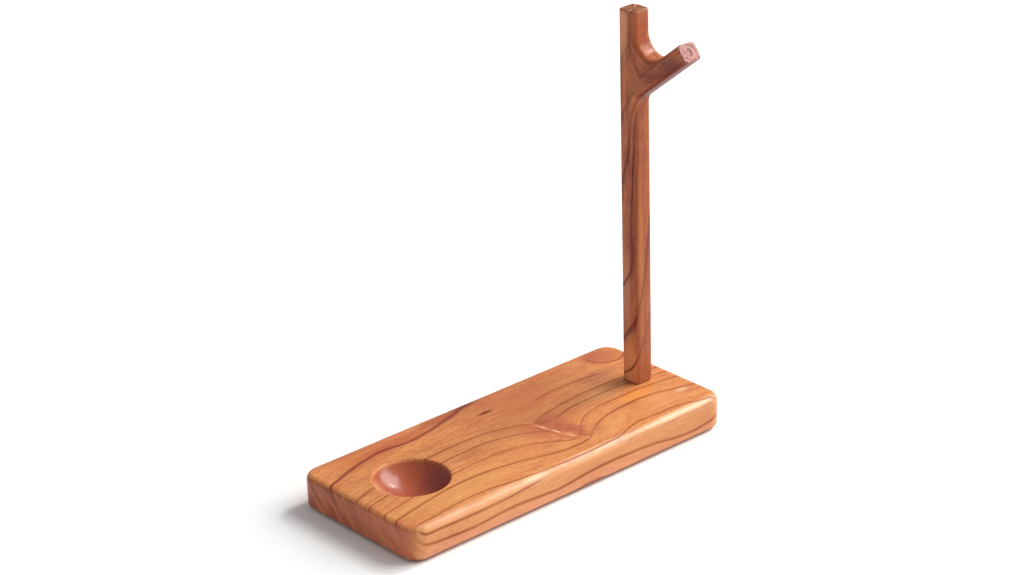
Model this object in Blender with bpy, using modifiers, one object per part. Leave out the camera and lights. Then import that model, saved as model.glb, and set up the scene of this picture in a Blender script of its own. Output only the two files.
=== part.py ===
"""Razor stand: a solid wood board with a round dish, and a forked post that a razor or brush hangs from.

The post is sawn in one piece with its branch. Its round tenon sits in the board, and a wood screw with a
washer pulls it down from below. Four rubber pads are let into the underside.
Metres, +Z up. The origin is on the surface that the pads stand on, under the middle of the board. The
board is long in X, the dish is at -X, the post at +X, and the branch reaches out over the -Y edge.
"""

import math

import bmesh
import bpy
from mathutils import Matrix, Vector

MM = 0.001
GAP = 0.3 * MM  # between pieces that touch

BOARD_LENGTH = 180 * MM
BOARD_WIDTH = 75 * MM
BOARD_THICKNESS = 15 * MM
BOARD_CORNER_RADIUS = 8 * MM
BOARD_TOP_ROUNDING = 2.8 * MM
BOARD_BOTTOM_ROUNDING = 1.8 * MM

DISH_DIAMETER = 34 * MM
DISH_DEPTH = 10 * MM
DISH_FROM_END = 30.7 * MM
DISH_LIP_RADIUS = 0.8 * MM
DISH_LIP_START = math.radians(80)  # where the lip's arc comes up through the board's top

POST_SIDE = 10 * MM
POST_HEIGHT = 174.5 * MM  # above the board
POST_FROM_END = 17 * MM
POST_ARRIS_RADIUS = 2.3 * MM
POST_END_ROUNDING = 0.5 * MM

BRANCH_WIDTH = 8.6 * MM
BRANCH_LENGTH = 42.3 * MM  # from the post's axis to the end of the branch
BRANCH_RISE = math.radians(38.4)
BRANCH_ROOT = 136.7 * MM  # above the board, where the branch's axis meets the post's
SADDLE_RADIUS = 8.9 * MM
CROTCH_RADIUS = 5.5 * MM

TENON_DIAMETER = 7 * MM
TENON_LENGTH = 7.7 * MM

SCREW_DIAMETER = 3.5 * MM
SCREW_CORE_DIAMETER = 2.4 * MM
SCREW_LENGTH = 30 * MM
SCREW_PITCH = 1.6 * MM
SCREW_FLANK = 0.35  # how much of the pitch each flank of the thread takes
SCREW_POINT = 4 * MM
SCREW_HEAD_DIAMETER = 7 * MM
SCREW_HEAD_HEIGHT = 2.4 * MM
SCREW_HEAD_PROFILE = ((0.96, 0), (1, 0.2), (1, 0.45), (0.9, 0.78), (0.62, 1), (0, 1))  # radius, height
SCREW_RECESS = 3.8 * MM  # across the arms of the cross
SCREW_RECESS_ARM = 0.9 * MM
SCREW_RECESS_DEPTH = 1.5 * MM
SCREW_RECESS_TAPER = (0.35, 0.7)  # how much of an arm's length and width is left at its bottom

WASHER_DIAMETER = 9 * MM
WASHER_THICKNESS = 0.8 * MM
COUNTERBORE_DIAMETER = 10.5 * MM
COUNTERBORE_DEPTH = 4.5 * MM

PAD_DIAMETER = 10 * MM
PAD_THICKNESS = 2 * MM
PAD_PROUD = 1 * MM  # how far a pad stands out of the board
PAD_FROM_END = 14 * MM
PAD_FROM_SIDE = 12 * MM
PAD_EDGE = 0.3 * MM

UNDERSIDE = PAD_PROUD
BOARD_TOP = UNDERSIDE + BOARD_THICKNESS
POST_X = BOARD_LENGTH / 2 - POST_FROM_END
DISH_X = -BOARD_LENGTH / 2 + DISH_FROM_END
PAD_X = BOARD_LENGTH / 2 - PAD_FROM_END
PAD_Y = BOARD_WIDTH / 2 - PAD_FROM_SIDE
COUNTERBORE_TOP = UNDERSIDE + COUNTERBORE_DEPTH
WASHER_BOTTOM = COUNTERBORE_TOP - GAP - WASHER_THICKNESS
SCREW_SEAT = WASHER_BOTTOM - GAP  # the flat underneath the screw's head
POST_BOTTOM = BOARD_TOP + GAP
TENON_BOTTOM = POST_BOTTOM - TENON_LENGTH
MORTISE_BOTTOM = TENON_BOTTOM - GAP

OVERRUN = 5 * MM  # how far a cutter runs past the face it cuts
FLAT = 1e-6  # two places this close are the same
SHARP = math.radians(35)  # a steeper edge than this is shown sharp
SQUARE = math.radians(60)  # a steeper edge than this is an arris of the sawn post
WELD = 0.01 * MM

ROUND_STEPS = 32
SCREW_STEPS = 24
DISH_STEPS = 48
CORNER_SEGMENTS = 6
TOP_SEGMENTS = 4
BOTTOM_SEGMENTS = 2
ARRIS_SEGMENTS = 3
END_SEGMENTS = 2

parts = bpy.data.collections.new("razor_stand")
cutters = bpy.data.collections.new("razor_stand_cutters")


def clear_scene():
    for obj in list(bpy.data.objects):
        bpy.data.objects.remove(obj, do_unlink=True)
    bpy.context.scene.collection.children.link(parts)
    bpy.context.scene.collection.children.link(cutters)


def material(name, colour, roughness, metallic=0.0):
    made = bpy.data.materials.new(name)
    made.use_nodes = True
    shader = made.node_tree.nodes["Principled BSDF"]
    shader.inputs["Base Color"].default_value = (*colour, 1.0)
    shader.inputs["Roughness"].default_value = roughness
    shader.inputs["Metallic"].default_value = metallic
    return made


def add_object(name, mesh, place=(0.0, 0.0, 0.0), finish=None):
    """A part if it has a finish, and otherwise a cutter."""
    obj = bpy.data.objects.new(name, mesh)
    obj.location = place
    if finish:
        mesh.materials.append(finish)
        mesh.shade_smooth()
        mesh.set_sharp_from_angle(angle=SHARP)
        parts.objects.link(obj)
    else:
        cutters.objects.link(obj)
        obj.hide_render = True
        obj.display_type = "WIRE"
    return obj


def mesh_from(bm, name):
    mesh = bpy.data.meshes.new(name)
    bm.to_mesh(mesh)
    bm.free()
    return mesh


def boolean(obj, tool, operation):
    step = obj.modifiers.new(f"{operation.lower()}_{tool.name}", "BOOLEAN")
    step.object = tool
    step.operation = operation
    step.solver = "EXACT"


def bevel_edges(bm, edges, radius, segments):
    bmesh.ops.bevel(
        bm,
        geom=edges,
        offset=radius,
        offset_type="OFFSET",
        segments=segments,
        profile=0.5,
        affect="EDGES",
        clamp_overlap=True,
        material=-1,
    )


def cylinder_mesh(name, diameter, height):
    """An upright cylinder whose bottom is at the origin."""
    bm = bmesh.new()
    bmesh.ops.create_cone(
        bm,
        cap_ends=True,
        segments=ROUND_STEPS,
        radius1=diameter / 2,
        radius2=diameter / 2,
        depth=height,
        matrix=Matrix.Translation((0, 0, height / 2)),
    )
    return mesh_from(bm, name)


def turned_mesh(name, profile, closed=False):
    """The outline of a turned shape as edges, from top to bottom, for a Screw modifier to turn."""
    bm = bmesh.new()
    points = [bm.verts.new((radius, 0, height)) for radius, height in profile]
    for first, second in zip(points, points[1:]):
        bm.edges.new((first, second))
    if closed:
        bm.edges.new((points[-1], points[0]))
    return mesh_from(bm, name)


def turn(obj, steps=ROUND_STEPS):
    """Turns the outline round the object's own Z axis."""
    screw = obj.modifiers.new("turn", "SCREW")
    screw.axis = "Z"
    screw.steps = steps
    screw.render_steps = steps
    screw.use_merge_vertices = True
    screw.merge_threshold = WELD
    screw.use_smooth_shade = True


def arc(centre, radius, start, end, steps):
    """Points from one angle to another, both in radians."""
    return [
        (
            centre[0] + radius * math.cos(start + (end - start) * i / steps),
            centre[1] + radius * math.sin(start + (end - start) * i / steps),
        )
        for i in range(steps + 1)
    ]


def fillet(corner, toward_first, toward_second, radius, steps):
    """Points of the arc that rounds the corner between two straight sides, from the first side on."""
    first, second = Vector(toward_first).normalized(), Vector(toward_second).normalized()
    half = first.angle(second) / 2
    centre = Vector(corner) + (first + second).normalized() * radius / math.sin(half)
    reach = radius / math.tan(half)
    begin = Vector(corner) + first * reach - centre
    finish = Vector(corner) + second * reach - centre
    turn_by = begin.angle_signed(finish)
    return [centre + Matrix.Rotation(-turn_by * i / steps, 2) @ begin for i in range(steps + 1)]


def make_board(finish):
    """The board, with its corners and its upper and lower edges rounded."""
    bm = bmesh.new()
    bmesh.ops.create_cube(bm, size=1)
    bmesh.ops.scale(bm, vec=(BOARD_LENGTH, BOARD_WIDTH, BOARD_THICKNESS), verts=bm.verts)
    upright = [e for e in bm.edges if abs((e.verts[0].co - e.verts[1].co).z) > FLAT]
    bevel_edges(bm, upright, BOARD_CORNER_RADIUS, CORNER_SEGMENTS)
    half = BOARD_THICKNESS / 2
    top = (half, BOARD_TOP_ROUNDING, TOP_SEGMENTS)
    bottom = (-half, BOARD_BOTTOM_ROUNDING, BOTTOM_SEGMENTS)
    for level, radius, segments in (top, bottom):
        rim = [e for e in bm.edges if all(abs(v.co.z - level) < FLAT for v in e.verts)]
        bevel_edges(bm, rim, radius, segments)
    middle = (0, 0, UNDERSIDE + half)
    return add_object("base_board", mesh_from(bm, "base_board"), middle, finish)


def dish_cutter():
    """A ball-nosed hollow whose lip is eased where it meets the board's top."""
    radius = ((DISH_DIAMETER / 2) ** 2 + DISH_DEPTH**2) / (2 * DISH_DEPTH)
    centre = radius - DISH_DEPTH
    lip_height = -DISH_LIP_RADIUS
    reach = math.sqrt((radius + DISH_LIP_RADIUS) ** 2 - (centre - lip_height) ** 2)
    tangent = math.atan2(lip_height - centre, reach)
    lip = arc((reach, lip_height), DISH_LIP_RADIUS, DISH_LIP_START, tangent + math.pi, 3)
    bowl = arc((0, centre), radius, tangent, -math.pi / 2, 10)
    profile = [(0, OVERRUN), (lip[0][0], OVERRUN), *lip, *bowl[1:-1], (0, -DISH_DEPTH)]
    cutter = add_object("dish_cutter", turned_mesh("dish_cutter", profile), (DISH_X, 0, BOARD_TOP))
    turn(cutter, DISH_STEPS)
    return cutter


def post_hole_cutter():
    """The mortise, the screw's clearance hole and the counterbore, all on the post's axis."""
    mortise = TENON_DIAMETER / 2 + GAP
    clearance = SCREW_DIAMETER / 2 + GAP
    counterbore = COUNTERBORE_DIAMETER / 2
    profile = [
        (0, BOARD_TOP + OVERRUN),
        (mortise, BOARD_TOP + OVERRUN),
        (mortise, MORTISE_BOTTOM),
        (clearance, MORTISE_BOTTOM),
        (clearance, COUNTERBORE_TOP),
        (counterbore, COUNTERBORE_TOP),
        (counterbore, UNDERSIDE - OVERRUN),
        (0, UNDERSIDE - OVERRUN),
    ]
    cutter = add_object("post_hole_cutter", turned_mesh("post_hole_cutter", profile), (POST_X, 0, 0))
    turn(cutter)
    return cutter


def pad_places():
    """The name of each pad's corner, and its place."""
    for end, x in (("dish_end", -PAD_X), ("post_end", PAD_X)):
        for side, y in (("front", -PAD_Y), ("back", PAD_Y)):
            yield f"{end}_{side}", (x, y, 0)


def cut_board(board):
    boolean(board, dish_cutter(), "DIFFERENCE")
    boolean(board, post_hole_cutter(), "DIFFERENCE")
    depth = PAD_THICKNESS + GAP + OVERRUN
    recess = cylinder_mesh("pad_recess", PAD_DIAMETER + 2 * GAP, depth)
    for corner, (x, y, _) in pad_places():
        cutter = add_object(f"pad_recess_{corner}", recess, (x, y, -OVERRUN))
        boolean(board, cutter, "DIFFERENCE")


def fork_outline():
    """The side of the forked post as (y, z) points, with its three ends run on past where they are cut."""
    half = POST_SIDE / 2
    out = Vector((-math.cos(BRANCH_RISE), math.sin(BRANCH_RISE)))
    across = Vector((math.sin(BRANCH_RISE), math.cos(BRANCH_RISE))) * BRANCH_WIDTH / 2
    root = Vector((0, BOARD_TOP + BRANCH_ROOT))
    top = BOARD_TOP + POST_HEIGHT + OVERRUN
    bottom = POST_BOTTOM - OVERRUN
    tip = root + out * (BRANCH_LENGTH + OVERRUN)

    def meets_front(point):
        return point + out * ((-half - point.x) / out.x)

    up, down = Vector((0, 1)), Vector((0, -1))
    saddle = fillet(meets_front(root + across), up, out, SADDLE_RADIUS, 8)
    crotch = fillet(meets_front(root - across), out, down, CROTCH_RADIUS, 4)
    back = [(half, bottom), (half, top), (-half, top)]
    return [*back, *saddle, tip + across, tip - across, *crotch, (-half, bottom)]


def outline_mesh(name, points, thickness):
    """A flat outline in the YZ plane, given its thickness in X, as a mesh whose caps are welded on."""
    curve = bpy.data.curves.new(name, "CURVE")
    curve.dimensions = "2D"
    curve.fill_mode = "BOTH"
    curve.extrude = thickness / 2
    spline = curve.splines.new("POLY")
    spline.points.add(len(points) - 1)
    for point, (y, z) in zip(spline.points, points):
        point.co = (y, z, 0, 1)
    spline.use_cyclic_u = True
    flat = bpy.data.objects.new(name, curve)
    parts.objects.link(flat)
    graph = bpy.context.evaluated_depsgraph_get()
    mesh = bpy.data.meshes.new_from_object(flat.evaluated_get(graph))
    bpy.data.objects.remove(flat)
    bm = bmesh.new()
    bm.from_mesh(mesh)
    bmesh.ops.remove_doubles(bm, verts=bm.verts, dist=WELD)
    bmesh.ops.dissolve_limit(bm, angle_limit=math.radians(1), verts=bm.verts, edges=bm.edges)
    stand_up = Matrix(((0, 0, 1), (1, 0, 0), (0, 1, 0)))
    bmesh.ops.rotate(bm, verts=bm.verts, matrix=stand_up)
    return bm


def cut_end(bm, point, outward):
    """Cuts off what lies outward of a point, caps the cut and eases its edge."""
    everything = [*bm.verts, *bm.edges, *bm.faces]
    bmesh.ops.bisect_plane(
        bm, geom=everything, dist=FLAT, plane_co=point, plane_no=outward, clear_outer=True
    )
    on_cut = [e for e in bm.edges if e.is_boundary]
    cap = bmesh.ops.contextual_create(bm, geom=on_cut)["faces"]
    bmesh.ops.recalc_face_normals(bm, faces=bm.faces)
    rim = [e for face in cap for e in face.edges]
    bevel_edges(bm, rim, POST_END_ROUNDING, END_SEGMENTS)


def is_arris(edge):
    """An edge between a flat face of the post and its sawn outline, and not one that runs across in X."""
    across = abs(edge.verts[0].co.x - edge.verts[1].co.x) > POST_SIDE / 2
    return not across and edge.calc_face_angle() > SQUARE


def make_post(finish):
    """The forked post: sawn outline, rounded arrises, three square-cut ends, and a turned tenon."""
    bm = outline_mesh("forked_post", fork_outline(), POST_SIDE)
    arrises = [e for e in bm.edges if is_arris(e)]
    bevel_edges(bm, arrises, POST_ARRIS_RADIUS, ARRIS_SEGMENTS)
    out = Vector((0, -math.cos(BRANCH_RISE), math.sin(BRANCH_RISE)))
    root = Vector((0, 0, BOARD_TOP + BRANCH_ROOT))
    cut_end(bm, Vector((0, 0, BOARD_TOP + POST_HEIGHT)), Vector((0, 0, 1)))
    cut_end(bm, root + out * BRANCH_LENGTH, out)
    cut_end(bm, Vector((0, 0, POST_BOTTOM)), Vector((0, 0, -1)))
    post = add_object("forked_post", mesh_from(bm, "forked_post"), (POST_X, 0, 0), finish)
    tenon_mesh = cylinder_mesh("tenon", TENON_DIAMETER, TENON_LENGTH + OVERRUN)
    tenon = add_object("tenon", tenon_mesh, (POST_X, 0, TENON_BOTTOM))
    boolean(post, tenon, "UNION")
    boolean(post, pilot_hole_cutter(), "DIFFERENCE")
    return post


def pilot_hole_cutter():
    """The screw's hole up through the tenon, with the drill's conical end."""
    radius = SCREW_DIAMETER / 2 + GAP
    screw_tip = SCREW_SEAT + SCREW_LENGTH
    profile = [
        (0, screw_tip + radius),
        (radius, screw_tip),
        (radius, TENON_BOTTOM - OVERRUN),
        (0, TENON_BOTTOM - OVERRUN),
    ]
    cutter = add_object("pilot_hole_cutter", turned_mesh("pilot_hole_cutter", profile), (POST_X, 0, 0))
    turn(cutter, SCREW_STEPS)
    return cutter


def screw_outline():
    """Half a pan-head wood screw, from its tip to the middle of its head. The thread is drawn as rings."""
    core, crest = SCREW_CORE_DIAMETER / 2, SCREW_DIAMETER / 2
    flank = SCREW_PITCH * SCREW_FLANK
    height = SCREW_LENGTH - SCREW_POINT
    outline = [(0, SCREW_LENGTH), (core, height)]
    while height - SCREW_PITCH > 0:
        outline += [(crest, height - flank), (core, height - 2 * flank), (core, height - SCREW_PITCH)]
        height -= SCREW_PITCH
    outline.append((core, 0))
    for radius_share, height_share in SCREW_HEAD_PROFILE:
        outline.append((radius_share * SCREW_HEAD_DIAMETER / 2, -height_share * SCREW_HEAD_HEIGHT))
    return outline


def make_screw(finish):
    mesh = turned_mesh("post_screw", screw_outline())
    screw = add_object("post_screw", mesh, (POST_X, 0, SCREW_SEAT), finish)
    turn(screw, SCREW_STEPS)
    arm = bmesh.new()
    bmesh.ops.create_cube(arm, size=1)
    bmesh.ops.scale(arm, vec=(SCREW_RECESS, SCREW_RECESS_ARM, 2 * SCREW_RECESS_DEPTH), verts=arm.verts)
    inner = [v for v in arm.verts if v.co.z > 0]
    bmesh.ops.scale(arm, vec=(*SCREW_RECESS_TAPER, 1), verts=inner)
    arm_mesh = mesh_from(arm, "recess_arm")
    for name, angle in (("recess_long", 0), ("recess_cross", math.pi / 2)):
        cutter = add_object(name, arm_mesh, (POST_X, 0, SCREW_SEAT - SCREW_HEAD_HEIGHT))
        cutter.rotation_euler.z = angle
        boolean(screw, cutter, "DIFFERENCE")
    return screw


def make_washer(finish):
    inner, outer = SCREW_DIAMETER / 2 + GAP, WASHER_DIAMETER / 2
    profile = [(outer, WASHER_THICKNESS), (outer, 0), (inner, 0), (inner, WASHER_THICKNESS)]
    mesh = turned_mesh("screw_washer", profile, closed=True)
    washer = add_object("screw_washer", mesh, (POST_X, 0, WASHER_BOTTOM), finish)
    turn(washer)
    return washer


def make_pads(finish):
    mesh = cylinder_mesh("foot_pad", PAD_DIAMETER, PAD_THICKNESS)
    for corner, place in pad_places():
        pad = add_object(f"foot_pad_{corner}", mesh, place, finish)
        edge = pad.modifiers.new("edge", "BEVEL")
        edge.width = PAD_EDGE
        edge.segments = 1
        edge.limit_method = "ANGLE"


def main():
    clear_scene()
    board_wood = material("board_wood", (0.60, 0.25, 0.085), 0.38)
    post_wood = material("post_wood", (0.38, 0.12, 0.045), 0.36)
    steel = material("zinc_plated_steel", (0.62, 0.61, 0.58), 0.32, 1.0)
    rubber = material("black_rubber", (0.03, 0.03, 0.03), 0.75)
    cut_board(make_board(board_wood))
    make_post(post_wood)
    make_screw(steel)
    make_washer(steel)
    make_pads(rubber)


main()
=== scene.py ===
"""A razor stand in satin-lacquered yew: a board with a turned dish, and a forked post sawn in one piece.

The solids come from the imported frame. This script builds the visible pieces over them, gives each its
finish, and sets up a pale floor, soft studio light and the camera.
"""

import math

import bmesh
import bpy
from mathutils import Matrix, Vector


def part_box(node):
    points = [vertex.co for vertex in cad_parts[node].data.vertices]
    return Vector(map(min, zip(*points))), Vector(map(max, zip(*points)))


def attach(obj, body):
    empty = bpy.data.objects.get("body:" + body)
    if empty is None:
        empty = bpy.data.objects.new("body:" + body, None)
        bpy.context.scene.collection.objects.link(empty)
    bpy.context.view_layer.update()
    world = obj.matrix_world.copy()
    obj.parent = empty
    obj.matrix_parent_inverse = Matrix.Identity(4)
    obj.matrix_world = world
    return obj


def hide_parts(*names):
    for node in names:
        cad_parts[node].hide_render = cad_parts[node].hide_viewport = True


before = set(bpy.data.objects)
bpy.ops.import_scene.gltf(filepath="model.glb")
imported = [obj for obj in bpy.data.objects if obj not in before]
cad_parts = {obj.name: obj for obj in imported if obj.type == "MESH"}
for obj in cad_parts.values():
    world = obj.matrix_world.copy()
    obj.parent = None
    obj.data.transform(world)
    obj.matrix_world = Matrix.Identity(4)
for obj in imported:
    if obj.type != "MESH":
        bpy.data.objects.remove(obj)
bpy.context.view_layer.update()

MM = 0.001
FULL_TURN = 2 * math.pi
TOUCHING = 0.001 * MM  # places this close are the same

# The board. Its outer size is its solid's own.
BOARD_LOW, BOARD_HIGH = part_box("base_board")
BOARD_LENGTH, BOARD_WIDTH, BOARD_THICKNESS = BOARD_HIGH - BOARD_LOW
CORNER_RADIUS = 8 * MM
TOP_ROUNDING = 2.8 * MM
BOTTOM_ROUNDING = 1.8 * MM
DISH_DIAMETER = 34 * MM
DISH_DEPTH = 10 * MM
DISH_FROM_END = 30.7 * MM
DISH_LIP_RADIUS = 0.8 * MM
DISH_X = BOARD_LOW.x + DISH_FROM_END

# The post. Heights are above the board's top unless a comment says otherwise.
POST_LOW, POST_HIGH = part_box("forked_post")
POST_SIDE = POST_HIGH.x - POST_LOW.x
POST_X = (POST_LOW.x + POST_HIGH.x) / 2
POST_SHOULDER = 0.3 * MM
ARRIS_RADIUS = 2.3 * MM
END_ROUNDING = 0.6 * MM
BRANCH_WIDTH = 8.6 * MM
BRANCH_LENGTH = 42.3 * MM
BRANCH_RISE = math.radians(38.4)
BRANCH_ROOT = 136.7 * MM
SADDLE_RADIUS = 8.9 * MM
CROTCH_RADIUS = 5.5 * MM
TENON_RADIUS = 3.5 * MM
TENON_CHAMFER = 0.5 * MM
PILOT_RADIUS = 2.05 * MM

# What holds the post, seen from below.
SCREW_LOW, SCREW_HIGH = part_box("post_screw")
WASHER_LOW, WASHER_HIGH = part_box("screw_washer")
COUNTERBORE_RADIUS = 5.25 * MM
COUNTERBORE_DEPTH = 4.5 * MM
CLEARANCE_RADIUS = 2.05 * MM
MORTISE_RADIUS = 3.8 * MM
MORTISE_DEPTH = 7.7 * MM
PAD_RECESS_RADIUS = 5.3 * MM
PAD_RECESS_DEPTH = 1.3 * MM
PADS = ("dish_end_front", "dish_end_back", "post_end_front", "post_end_back")


def place_in(bm, matrix):
    bmesh.ops.transform(bm, matrix=matrix, verts=bm.verts)


def bevel(bm, edges, radius, segments):
    bmesh.ops.bevel(
        bm,
        geom=edges,
        offset=radius,
        offset_type="OFFSET",
        segments=segments,
        profile=0.5,
        affect="EDGES",
        clamp_overlap=True,
        material=-1,
    )


def spin_profile(bm, points, place, steps):
    """Turns (radius, height) points a full turn about the upright line through a place."""
    verts = [bm.verts.new((place[0] + radius, place[1], height)) for radius, height in points]
    edges = [bm.edges.new(pair) for pair in zip(verts, verts[1:])]
    bmesh.ops.spin(
        bm,
        geom=[*verts, *edges],
        cent=(place[0], place[1], 0),
        axis=(0, 0, 1),
        angle=FULL_TURN,
        steps=steps,
        use_merge=True,
    )


def weld(bm):
    bmesh.ops.remove_doubles(bm, verts=bm.verts, dist=TOUCHING)


def arc(centre, radius, start, end, steps):
    """Points from one angle to another, both in radians."""
    return [
        (
            centre[0] + radius * math.cos(start + (end - start) * i / steps),
            centre[1] + radius * math.sin(start + (end - start) * i / steps),
        )
        for i in range(steps + 1)
    ]


def piece(name, bm, node, finish, sharp=40):
    """Makes the mesh an object that rides on the stand, stands for a CAD node and wears a finish."""
    weld(bm)
    bmesh.ops.recalc_face_normals(bm, faces=bm.faces)
    mesh = bpy.data.meshes.new(name)
    bm.to_mesh(mesh)
    bm.free()
    mesh.shade_smooth()
    mesh.set_sharp_from_angle(angle=math.radians(sharp))
    mesh.materials.append(finish)
    made = bpy.data.objects.new(name, mesh)
    bpy.context.scene.collection.objects.link(made)
    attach(made, "root")
    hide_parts(node)


# ---------------------------------------------------------------- camera


def make_camera():
    """A long lens about 1.3 m away, a little turned about its own axis."""
    distance = 1315 * MM
    azimuth, elevation, roll = math.radians(41.24), math.radians(24.33), math.radians(-1.69)
    target = Vector((42.8, 48.86, 55.0)) * MM
    back = Vector(
        (
            -math.cos(elevation) * math.sin(azimuth),
            -math.cos(elevation) * math.cos(azimuth),
            math.sin(elevation),
        )
    )
    right = Vector((math.cos(azimuth), -math.sin(azimuth), 0))
    up = back.cross(right)
    turn = Matrix((right, up, back)).transposed() @ Matrix.Rotation(roll, 3, "Z")
    data = bpy.data.cameras.new("camera")
    data.lens = 103.52
    data.sensor_width = 36
    data.clip_start = 0.05
    data.clip_end = 30
    camera = bpy.data.objects.new("camera", data)
    camera.matrix_world = Matrix.Translation(target + back * distance) @ turn.to_4x4()
    bpy.context.scene.collection.objects.link(camera)
    bpy.context.scene.camera = camera


# ---------------------------------------------------------------- shapes


def open_flat(bm, sign):
    """Frames the board's flat top (1) or underside (-1) with a narrow border and takes out its middle."""
    face = max(bm.faces, key=lambda f: sign * f.calc_center_median().z + f.calc_area())
    bmesh.ops.inset_region(bm, faces=[face], thickness=0.4 * MM, use_even_offset=True)
    bmesh.ops.delete(bm, geom=[face], context="FACES_ONLY")


def fill_flat(bm, level, normal):
    """Fills between all open edges that lie at one height."""
    open_edges = [
        e for e in bm.edges if e.is_boundary and all(abs(v.co.z - level) < TOUCHING for v in e.verts)
    ]
    bmesh.ops.triangle_fill(bm, use_beauty=True, use_dissolve=False, edges=open_edges, normal=normal)


def dish_profile():
    """The dish from its lip, which rolls over into the board's top, down to its middle."""
    top = BOARD_HIGH.z
    radius = ((DISH_DIAMETER / 2) ** 2 + DISH_DEPTH**2) / (2 * DISH_DEPTH)
    centre = top + radius - DISH_DEPTH
    lip_height = top - DISH_LIP_RADIUS
    reach = math.sqrt((radius + DISH_LIP_RADIUS) ** 2 - (centre - lip_height) ** 2)
    tangent = math.atan2(lip_height - centre, reach)
    lip = arc((reach, lip_height), DISH_LIP_RADIUS, math.pi / 2, tangent + math.pi, 10)
    bowl = arc((0, centre), radius, tangent, -math.pi / 2, 36)
    return [(lip[0][0] + DISH_LIP_RADIUS / 2, top), *lip, *bowl[1:-1], (0, centre - radius)]


def post_hole_profile():
    """From the top: the mortise, the screw's clearance hole and the counterbore."""
    top, bottom = BOARD_HIGH.z, BOARD_LOW.z
    mortise_floor = top - MORTISE_DEPTH
    seat = bottom + COUNTERBORE_DEPTH
    ease = 0.25 * MM
    return [
        (MORTISE_RADIUS, top),
        (MORTISE_RADIUS, mortise_floor),
        (CLEARANCE_RADIUS, mortise_floor),
        (CLEARANCE_RADIUS, seat),
        (COUNTERBORE_RADIUS, seat),
        (COUNTERBORE_RADIUS, bottom + ease),
        (COUNTERBORE_RADIUS + ease, bottom),
    ]


def make_board(finish):
    """The board: planed flat, corners sawn round, edges routed, dish turned, holes bored."""
    bm = bmesh.new()
    bmesh.ops.create_cube(bm, size=1)
    place_in(bm, Matrix.Diagonal((BOARD_LENGTH, BOARD_WIDTH, BOARD_THICKNESS, 1)))
    place_in(bm, Matrix.Translation((BOARD_LOW + BOARD_HIGH) / 2))
    upright = [e for e in bm.edges if abs(e.verts[0].co.z - e.verts[1].co.z) > MM]
    bevel(bm, upright, CORNER_RADIUS, 20)
    for level, radius, segments in (
        (BOARD_HIGH.z, TOP_ROUNDING, 12),
        (BOARD_LOW.z, BOTTOM_ROUNDING, 8),
    ):
        rim = [e for e in bm.edges if all(abs(v.co.z - level) < TOUCHING for v in e.verts)]
        bevel(bm, rim, radius, segments)
    for sign in (1, -1):
        open_flat(bm, sign)
    spin_profile(bm, dish_profile(), (DISH_X, 0), 96)
    spin_profile(bm, post_hole_profile(), (POST_X, 0), 48)
    ease = 0.2 * MM
    for corner in PADS:
        low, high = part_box(f"foot_pad_{corner}")
        middle = (low + high) / 2
        ceiling = BOARD_LOW.z + PAD_RECESS_DEPTH
        recess = [
            (PAD_RECESS_RADIUS + ease, BOARD_LOW.z),
            (PAD_RECESS_RADIUS, BOARD_LOW.z + ease),
            (PAD_RECESS_RADIUS, ceiling),
            (0, ceiling),
        ]
        spin_profile(bm, recess, middle.xy, 48)
    weld(bm)
    fill_flat(bm, BOARD_HIGH.z, (0, 0, 1))
    fill_flat(bm, BOARD_LOW.z, (0, 0, -1))
    piece("board", bm, "base_board", finish)


def fillet(corner, toward_first, toward_second, radius, steps):
    """Points of the arc that rounds the corner between two straight sides, from the first side on."""
    first, second = Vector(toward_first).normalized(), Vector(toward_second).normalized()
    half = first.angle(second) / 2
    centre = Vector(corner) + (first + second).normalized() * radius / math.sin(half)
    reach = radius / math.tan(half)
    start = Vector(corner) + first * reach - centre
    end = Vector(corner) + second * reach - centre
    turn_by = start.angle_signed(end)
    return [centre + Matrix.Rotation(-turn_by * i / steps, 2) @ start for i in range(steps + 1)]


def fork_outline():
    """The side of the forked post as (y, z) points, with its three ends run on past their cuts."""
    run_on = 5 * MM
    half = POST_SIDE / 2
    out = Vector((-math.cos(BRANCH_RISE), math.sin(BRANCH_RISE)))
    across = Vector((math.sin(BRANCH_RISE), math.cos(BRANCH_RISE))) * BRANCH_WIDTH / 2
    root = Vector((0, BOARD_HIGH.z + BRANCH_ROOT))
    tip = root + out * (BRANCH_LENGTH + run_on)
    top = POST_HIGH.z + run_on
    bottom = BOARD_HIGH.z + POST_SHOULDER - run_on

    def meets_front(point):
        return point + out * ((-half - point.x) / out.x)

    up, down = Vector((0, 1)), Vector((0, -1))
    saddle = fillet(meets_front(root + across), up, out, SADDLE_RADIUS, 28)
    crotch = fillet(meets_front(root - across), out, down, CROTCH_RADIUS, 14)
    back = [(half, bottom), (half, top), (-half, top)]
    return [*back, *saddle, tip + across, tip - across, *crotch, (-half, bottom)]


def cut_end(bm, point, outward):
    """Saws off what lies outward of a point, closes the new end and eases its edge."""
    everything = [*bm.verts, *bm.edges, *bm.faces]
    bmesh.ops.bisect_plane(
        bm, geom=everything, dist=TOUCHING, plane_co=point, plane_no=outward, clear_outer=True
    )
    on_cut = [e for e in bm.edges if e.is_boundary]
    cap = bmesh.ops.contextual_create(bm, geom=on_cut)["faces"]
    bmesh.ops.recalc_face_normals(bm, faces=bm.faces)
    rim = [e for face in cap for e in face.edges]
    bevel(bm, rim, END_ROUNDING, 4)


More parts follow.
